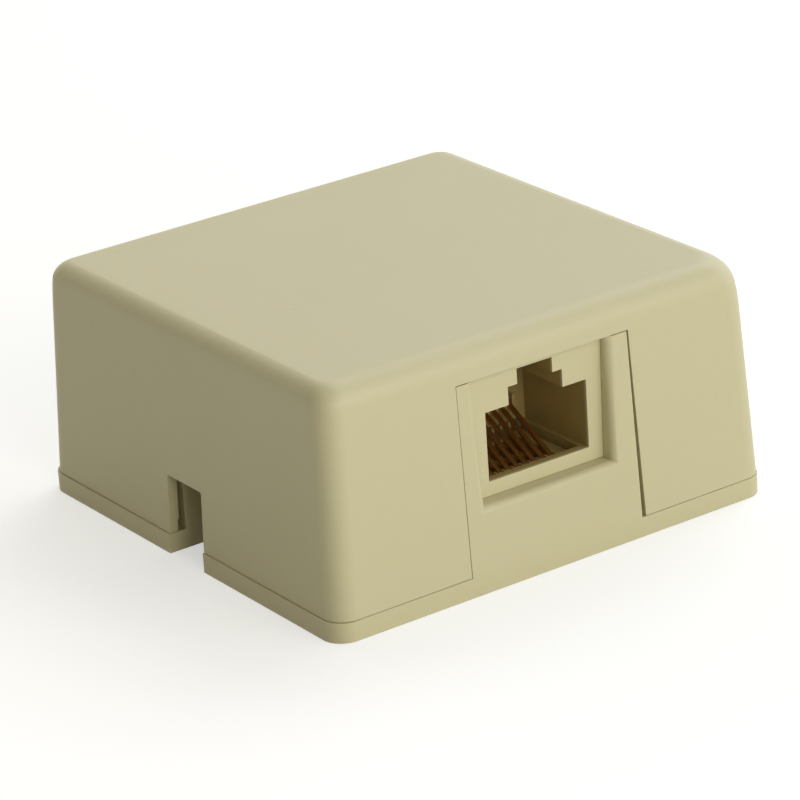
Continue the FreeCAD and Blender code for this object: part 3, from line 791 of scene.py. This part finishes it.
class JACKBOX_OT_stage(bpy.types.Operator):
    """Camera, floor, lights and surrounding light"""
    bl_idname = "jackbox.stage"
    bl_label = "Stage"

    def execute(self, context):
        p = context.scene.jackbox_stage
        self.camera(context, p)
        self.floor(p)
        for name, place, size in LAMPS:
            self.area(name + " light", Vector(place), size, getattr(p, name))
        self.sky(context, p)
        return {"FINISHED"}

    def camera(self, context, p):
        right = Vector((math.cos(p.yaw), -math.sin(p.yaw), 0.0))
        ahead = Vector((math.sin(p.yaw) * math.cos(p.pitch), math.cos(p.yaw) * math.cos(p.pitch),
                        -math.sin(p.pitch)))
        up = right.cross(ahead)
        x = math.cos(p.roll) * right + math.sin(p.roll) * up
        y = -math.sin(p.roll) * right + math.cos(p.roll) * up
        data = bpy.data.cameras.new("camera")
        data.sensor_width = 36.0
        data.lens = p.lens
        data.clip_start, data.clip_end = 0.01, 20.0
        data.shift_x = 0.003
        camera = link(bpy.data.objects.new("camera", data))
        place = Vector((0.0, 0.0, p.target_height)) - ahead * p.distance
        turn = Matrix((x, y, -ahead)).transposed().to_4x4()
        camera.matrix_world = Matrix.Translation(place) @ turn
        context.scene.camera = camera

    def floor(self, p):
        bm = bmesh.new()
        bmesh.ops.create_grid(bm, x_segments=8, y_segments=8, size=p.floor_size / 2)
        floor = mesh_object("floor", bm)
        floor.location.z = CAD_BOX[0][2] - FLOOR_GAP
        material, tree, _ = new_material("pale floor")
        tree.nodes.clear()
        out = tree.nodes.new("ShaderNodeOutputMaterial")
        matt = tree.nodes.new("ShaderNodeBsdfDiffuse")
        matt.inputs["Color"].default_value = FLOOR_COLOUR
        glow = tree.nodes.new("ShaderNodeEmission")
        path = tree.nodes.new("ShaderNodeLightPath")
        seen = math_node(tree, "MAXIMUM", path.outputs["Is Camera Ray"], path.outputs["Is Glossy Ray"])
        seen = math_node(tree, "MAXIMUM", seen, path.outputs["Is Transmission Ray"])
        tree.links.new(math_node(tree, "MULTIPLY", seen, FLOOR_GLOW), glow.inputs["Strength"])
        both = tree.nodes.new("ShaderNodeAddShader")
        tree.links.new(matt.outputs[0], both.inputs[0])
        tree.links.new(glow.outputs[0], both.inputs[1])
        tree.links.new(both.outputs[0], out.inputs["Surface"])
        paint(floor, material)

    def area(self, name, place, size, power):
        data = bpy.data.lights.new(name, "AREA")
        data.size = size
        data.energy = power
        light = link(bpy.data.objects.new(name, data))
        light.location = place
        light.rotation_euler = (Vector(LAMP_TARGET) - place).to_track_quat("-Z", "Y").to_euler()

    def lobe(self, tree, way, axis, color, total):
        """Adds a broad patch of light around an axis to the surrounding light."""
        dot = tree.nodes.new("ShaderNodeVectorMath")
        dot.operation = "DOT_PRODUCT"
        tree.links.new(way, dot.inputs[0])
        dot.inputs[1].default_value = axis
        near = math_node(tree, "POWER", math_node(tree, "MAXIMUM", dot.outputs["Value"], 0.0), 2.0)
        patch = tree.nodes.new("ShaderNodeVectorMath")
        patch.operation = "SCALE"
        patch.inputs[0].default_value = color
        tree.links.new(near, patch.inputs["Scale"])
        if total is None:
            return patch.outputs[0]
        both = tree.nodes.new("ShaderNodeVectorMath")
        both.operation = "ADD"
        tree.links.new(total, both.inputs[0])
        tree.links.new(patch.outputs[0], both.inputs[1])
        return both.outputs[0]

    def sky(self, context, p):
        world = bpy.data.worlds.new("studio")
        context.scene.world = world
        world.use_nodes = True
        tree = world.node_tree
        tree.nodes.clear()
        out = tree.nodes.new("ShaderNodeOutputWorld")
        soft = tree.nodes.new("ShaderNodeBackground")
        total = None
        way = tree.nodes.new("ShaderNodeTexCoord").outputs["Generated"]
        for axis, color in (((1, 0, 0), p.sky_right), ((0, 1, 0), p.sky_back), ((0, -1, 0), p.sky_front)):
            total = self.lobe(tree, way, axis, color, total)
        tree.links.new(total, soft.inputs["Color"])
        soft.inputs["Strength"].default_value = p.sky
        white = tree.nodes.new("ShaderNodeBackground")
        white.inputs["Color"].default_value = (1.0, 1.0, 1.0, 1.0)
        path = tree.nodes.new("ShaderNodeLightPath")
        mix = tree.nodes.new("ShaderNodeMixShader")
        tree.links.new(path.outputs["Is Camera Ray"], mix.inputs[0])
        tree.links.new(soft.outputs[0], mix.inputs[1])
        tree.links.new(white.outputs[0], mix.inputs[2])
        tree.links.new(mix.outputs[0], out.inputs["Surface"])


class JACKBOX_OT_cover(bpy.types.Operator):
    """Drafted cover with soft cut edges"""
    bl_idname = "jackbox.cover"
    bl_label = "Cover"

    def execute(self, context):
        finish, detail = settings(context)
        shell = softened_copy(["cover"], "cover_shell", detail.cover_edge,
                              reshape=lambda bm: reshape_crown(bm, detail), largest=4)
        material = plastic("cover ivory", finish.cover_ivory, finish.roughness, finish.grain, 0.1)
        finish_piece(shell, COVER_BODY, material, "cover_plastic", "cover")
        return {"FINISHED"}


class JACKBOX_OT_base(bpy.types.Operator):
    """Base plate with its tongue, posts and catches"""
    bl_idname = "jackbox.base"
    bl_label = "Base"

    def execute(self, context):
        finish, detail = settings(context)
        plate = softened_copy(["base"], "base_plate", detail.base_edge)
        material = plastic("base ivory", finish.ivory, finish.roughness, finish.grain, 0.1)
        finish_piece(plate, BASE_BODY, material, "base_plastic", "base")
        return {"FINISHED"}


class JACKBOX_OT_jack(bpy.types.Operator):
    """Jack housing and the comb tray in its floor"""
    bl_idname = "jackbox.jack"
    bl_label = "Jack"

    def execute(self, context):
        finish, detail = settings(context)
        housing = softened_copy(["jack_housing"], "jack_body", detail.jack_edge)
        material = plastic("jack ivory", finish.ivory, finish.roughness, finish.grain, 0.05)
        # painted shade inside the jack's mouth
        self.paint_mouth_shade(material, finish, detail)
        finish_piece(housing, BASE_BODY, material, "jack_plastic", "jack_housing")
        tray = softened_copy(["contact_carrier"], "comb_tray", detail.jack_edge / 3)
        material = plastic("carrier plastic", finish.carrier, 0.55, finish.grain)
        # painted shade inside the jack's mouth
        self.paint_mouth_shade(material, finish, detail)
        finish_piece(tray, BASE_BODY, material, "carrier_plastic", "contact_carrier")
        return {"FINISHED"}

    def paint_mouth_shade(self, material, finish, detail):
        """Paints shade into the plastic's colour inside the jack's mouth: it darkens with depth there."""
        tree = material.node_tree
        shader = tree.nodes["Principled BSDF"]
        low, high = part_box("jack_housing")
        # painted shade: darker with depth behind the jack's face
        tint = add_group(tree, "sheltered tint", Deep_Color=rgba(finish.deep),
                         Front=low.y + detail.shade_start, Depth=detail.shade_depth,
                         Middle=(low.x + high.x) / 2, Half_Width=detail.mouth_half,
                         Top=high.z - SHADE_BELOW, Back=low.y + detail.mouth_depth)
        tree.links.new(shader.inputs["Base Color"].links[0].from_socket, tint.inputs["Color"])
        tree.links.new(tint.outputs["Color"], shader.inputs["Base Color"])


class JACKBOX_OT_contacts(bpy.types.Operator):
    """The jack's contact wires"""
    bl_idname = "jackbox.contacts"
    bl_label = "Contact wires"

    def execute(self, context):
        finish, detail = settings(context)
        material = metal("gold plating", finish.contact, 0.6, 0.3)
        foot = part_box("circuit_board")[1].z + detail.wire_foot
        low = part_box("circuit_board")[1].z + detail.wire_low
        slope = math.tan(detail.wire_slope)
        half = detail.wire_thick / 2
        rows = []
        for first in (WIRES[0], WIRES[1]):
            start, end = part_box(first)
            x, bend = (start.x + end.x) / 2, start.y + half
            top = end.z - half * math.cos(detail.wire_slope)
            path = [(x, end.y - half, start.z), (x, end.y - half, low), (x, bend, low), (x, bend, foot),
                    (x, bend + (top - foot) / slope, top)]
            pitch = (middle(WIRES[2]).x - middle(WIRES[0]).x, 0.0, 0.0)
            rows.append(swept("wires", path, material, Width=end.x - start.x,
                              Thickness=detail.wire_thick, Edge_Radius=detail.wire_edge,
                              Bend_Radius=detail.wire_bend, Count=4, Pitch=pitch))
        wires = merged("contact_wires", rows)
        finish_piece(wires, BASE_BODY, material, "contact_metal", *WIRES)
        return {"FINISHED"}


class JACKBOX_OT_board(bpy.types.Operator):
    """Circuit board"""
    bl_idname = "jackbox.board"
    bl_label = "Circuit board"

    def execute(self, context):
        finish, detail = settings(context)
        board = softened_copy(["circuit_board"], "printed_board", 0.0)
        material = plastic("solder mask", finish.mask, 0.3, finish.grain / 2, 0.0, 0.4, 0.1)
        finish_piece(board, BASE_BODY, material, "board_laminate", "circuit_board")
        self.tracks(finish, detail)
        self.joints(finish, detail)
        return {"FINISHED"}

    def tails(self):
        """Where the contact wires go through the board."""
        return [Vector((middle(wire).x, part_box(wire)[1].y - TAIL_INSET)) for wire in WIRES]

    def tracks(self, finish, detail):
        """One track on the board from each wire's tail to its forked contact."""
        material = plastic("masked track", finish.track, 0.28, finish.grain / 4, 0.0, 0.3, 0.0)
        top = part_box("circuit_board")[1].z
        runs = []
        for tail, blade in zip(self.tails(), BLADES[:4] + BLADES[:3:-1]):
            end = middle(blade)
            path = [(tail.x, tail.y, top), (tail.x, end.y, top), (end.x, end.y, top)]
            runs.append(swept("track", path, material, Width=detail.track_width,
                              Thickness=2 * detail.copper, Edge_Radius=detail.copper / 4,
                              Bend_Radius=detail.track_bend, Across=(0.0, 0.0, 1.0)))
        finish_piece(merged("board_tracks", runs), BASE_BODY, material, "board_laminate")

    def joints(self, finish, detail):
        """Pads on both faces of the board, and a solder joint under each tail."""
        material = metal("solder", finish.solder, 0.8, 0.32, 0.25)
        low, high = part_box("circuit_board")
        places = self.tails() + [middle(blade).xy for blade in BLADES]
        inner, outer, thick = detail.pad_hole, detail.pad_radius, detail.copper
        pad = turned("pads", [(inner, -thick), (outer, -thick), (outer, thick), (inner, thick)], ring=True)
        pads = repeated(pad, [(p.x, p.y, z) for p in places for z in (low.z, high.z)], material)
        tall = detail.solder_height
        drop = turned("drops", [(0.0, 0.0), (outer * 0.92, 0.0), (outer * 0.86, -tall * 0.12),
                                (outer * 0.6, -tall * 0.4), (outer * 0.42, -tall * 0.8),
                                (outer * 0.3, -tall), (0.0, -tall)])
        drops = repeated(drop, [(p.x, p.y, low.z - thick) for p in places], material, turn=math.pi, seed=3)
        finish_piece(merged("solder_joints", [pads, drops]), BASE_BODY, material, "idc_metal")


class JACKBOX_OT_blocks(bpy.types.Operator):
    """Punch-down blocks and their forked contacts"""
    bl_idname = "jackbox.blocks"
    bl_label = "Punch-down blocks"

    def execute(self, context):
        finish = context.scene.jackbox_finish
        blocks = softened_copy(["idc_block_left", "idc_block_right"], "punch_blocks", BLOCK_EDGE)
        material = plastic("block plastic", finish.block, 0.4, finish.grain / 2, 0.1, 0.2, 0.1)
        finish_piece(blocks, BASE_BODY, material, "idc_plastic", "idc_block_left", "idc_block_right")
        blades = softened_copy(BLADES, "forked_contacts", BLADE_EDGE)
        material = metal("tin plating", finish.blade, 0.8, 0.35)
        finish_piece(blades, BASE_BODY, material, "idc_metal", *BLADES)
        return {"FINISHED"}


class JACKBOX_OT_screws(bpy.types.Operator):
    """Board screws"""
    bl_idname = "jackbox.screws"
    bl_label = "Board screws"

    def execute(self, context):
        finish, detail = settings(context)
        material = metal("zinc plating", finish.zinc, 0.75, 0.3)
        low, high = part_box("board_screws")
        seat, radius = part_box("circuit_board")[1].z, (high.y - low.y) / 2
        screw = pan_screw("pan_screws", radius, high.z - seat, seat - low.z, detail)
        screws = repeated(screw, [(x, low.y + radius, seat) for x in (low.x + radius, high.x - radius)],
                          material, turn=math.pi, seed=5)
        finish_piece(screws, BASE_BODY, material, "screw_steel", "board_screws")
        return {"FINISHED"}


STEPS = (JACKBOX_OT_stage, JACKBOX_OT_cover, JACKBOX_OT_base, JACKBOX_OT_jack, JACKBOX_OT_contacts,
         JACKBOX_OT_board, JACKBOX_OT_blocks, JACKBOX_OT_screws)


class JACKBOX_PT_panel(bpy.types.Panel):
    """Lists the pieces of the jack box"""
    bl_idname = "JACKBOX_PT_panel"
    bl_label = "Jack box"
    bl_space_type = "VIEW_3D"
    bl_region_type = "UI"
    bl_category = "Jack box"

    def draw(self, context):
        column = self.layout.column()
        for step in STEPS:
            column.operator(step.bl_idname)
        for owner, names in (
                (context.scene.jackbox_finish, ("ivory", "cover_ivory", "contact", "roughness")),
                (context.scene.jackbox_detail, ("cover_edge", "base_edge")),
                (context.scene.jackbox_stage, ("front", "corner", "overhead", "sky"))):
            for name in names:
                column.prop(owner, name)


GROUPS_OF_PROPERTIES = {"jackbox_finish": JackboxFinish, "jackbox_detail": JackboxDetail,
                        "jackbox_stage": JackboxStage}
CLASSES = (*GROUPS_OF_PROPERTIES.values(), *STEPS, JACKBOX_PT_panel)


def register():
    for cls in CLASSES:
        bpy.utils.register_class(cls)
    for name, kind in GROUPS_OF_PROPERTIES.items():
        setattr(bpy.types.Scene, name, bpy.props.PointerProperty(type=kind))


def unregister():
    for name in GROUPS_OF_PROPERTIES:
        delattr(bpy.types.Scene, name)
    for cls in reversed(CLASSES):
        bpy.utils.unregister_class(cls)


def main():
    register()
    bpy.context.scene.view_settings.view_transform = "Standard"
    for step in STEPS:
        group_name, name = step.bl_idname.split(".")
        getattr(getattr(bpy.ops, group_name), name)()


if __name__ == "__main__":
    main()
